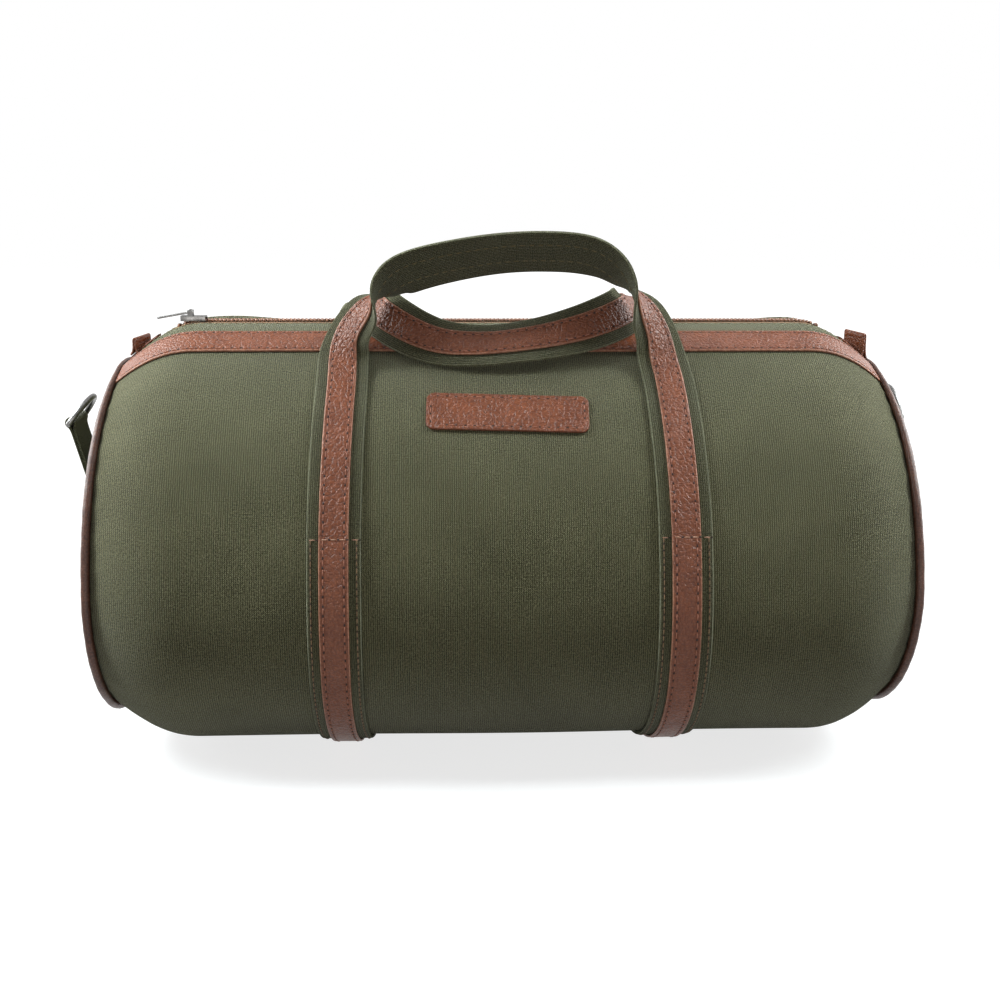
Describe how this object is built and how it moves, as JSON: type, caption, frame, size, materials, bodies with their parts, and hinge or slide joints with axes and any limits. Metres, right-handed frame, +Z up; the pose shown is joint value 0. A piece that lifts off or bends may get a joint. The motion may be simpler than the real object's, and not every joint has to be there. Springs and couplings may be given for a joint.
{
  "type": "duffel bag",
  "caption": "Canvas duffel bag with leather trim: rounded body, full-length zip, wrap-round straps that become folding handles, strap rings on tabs at the ends.",
  "frame": {"origin": "on the floor, under the middle of the zip", "axes": "+X along the bag towards its right end as seen from the label side, -Y to the front with the label, +Z up"},
  "size_m": [0.559, 0.301, 0.3307],
  "materials": {
    "canvas": "ribbed cotton canvas",
    "lining": "plain woven cotton",
    "board": "matt",
    "dark_leather": "smooth, slightly waxed",
    "tan_leather": "pebbled grain, satin",
    "zip_tape": "woven tape",
    "zip_teeth": "moulded coil",
    "metal": "gunmetal"
  },
  "bodies": {
    "bag": {"main_panel": "canvas", "lining": "lining", "base_board": "board", "left_end_panel": "canvas", "right_end_panel": "canvas", "left_piping": "dark_leather", "right_piping": "dark_leather", "front_band": "tan_leather", "rear_band": "tan_leather", "left_mouth_end": "canvas", "right_mouth_end": "canvas", "left_end_teeth": "zip_teeth", "right_end_teeth": "zip_teeth", "zip_stops": "zip_teeth", "left_end_tab": "tan_leather", "right_end_tab": "tan_leather", "left_strap": "canvas", "right_strap": "canvas", "left_strap_leather": "tan_leather", "right_strap_leather": "tan_leather", "label_patch": "tan_leather", "left_ring_tab": "canvas", "right_ring_tab": "canvas"},
    "front_lip": {"front_lip": "canvas", "front_zip_tape": "zip_tape", "front_teeth": "zip_teeth"},
    "rear_lip": {"rear_lip": "canvas", "rear_zip_tape": "zip_tape", "rear_teeth": "zip_teeth"},
    "slider": {"zip_slider": "metal"},
    "pull": {"zip_pull": "metal"},
    "front_handle": {"front_handle": "canvas", "front_handle_leather": "tan_leather"},
    "rear_handle": {"rear_handle": "canvas", "rear_handle_leather": "tan_leather"},
    "left_ring": {"left_ring": "metal"},
    "right_ring": {"right_ring": "metal"}
  },
  "joints": [
    {"name": "slider_run", "type": "slide", "parent": "bag", "child": "slider", "axis": [1, 0, 0], "range_m": [0, 0.406]},
    {"name": "pull_flip", "type": "hinge", "parent": "slider", "child": "pull", "pos_m": [-0.205, 0, 0.2755], "axis": [0, 1, 0], "range_deg": [0, 170]},
    {"name": "front_lip_fold", "type": "hinge", "parent": "bag", "child": "front_lip", "pos_m": [0, -0.02734, 0.26393], "axis": [-1, 0, 0], "range_deg": [0, 81]},
    {"name": "rear_lip_fold", "type": "hinge", "parent": "bag", "child": "rear_lip", "pos_m": [0, 0.02734, 0.26393], "axis": [1, 0, 0], "range_deg": [0, 81]},
    {"name": "front_handle_swing", "type": "hinge", "parent": "bag", "child": "front_handle", "pos_m": [0, -0.13969, 0.15794], "axis": [1, 0, 0], "range_deg": [0, 110]},
    {"name": "rear_handle_swing", "type": "hinge", "parent": "bag", "child": "rear_handle", "pos_m": [0, 0.13969, 0.15794], "axis": [-1, 0, 0], "range_deg": [0, 165]},
    {"name": "left_ring_swing", "type": "hinge", "parent": "bag", "child": "left_ring", "pos_m": [-0.28378, 0, 0.20426], "axis": [0, -1, 0], "range_deg": [0, 120]},
    {"name": "right_ring_swing", "type": "hinge", "parent": "bag", "child": "right_ring", "pos_m": [0.26792, 0, 0.20607], "axis": [0, 1, 0], "range_deg": [0, 100]}
  ],
  "couplings": [
    {"joint": "front_lip_fold", "follows": "slider_run", "rad_per_m": 3.4391},
    {"joint": "rear_lip_fold", "follows": "slider_run", "rad_per_m": 3.4391}
  ]
}
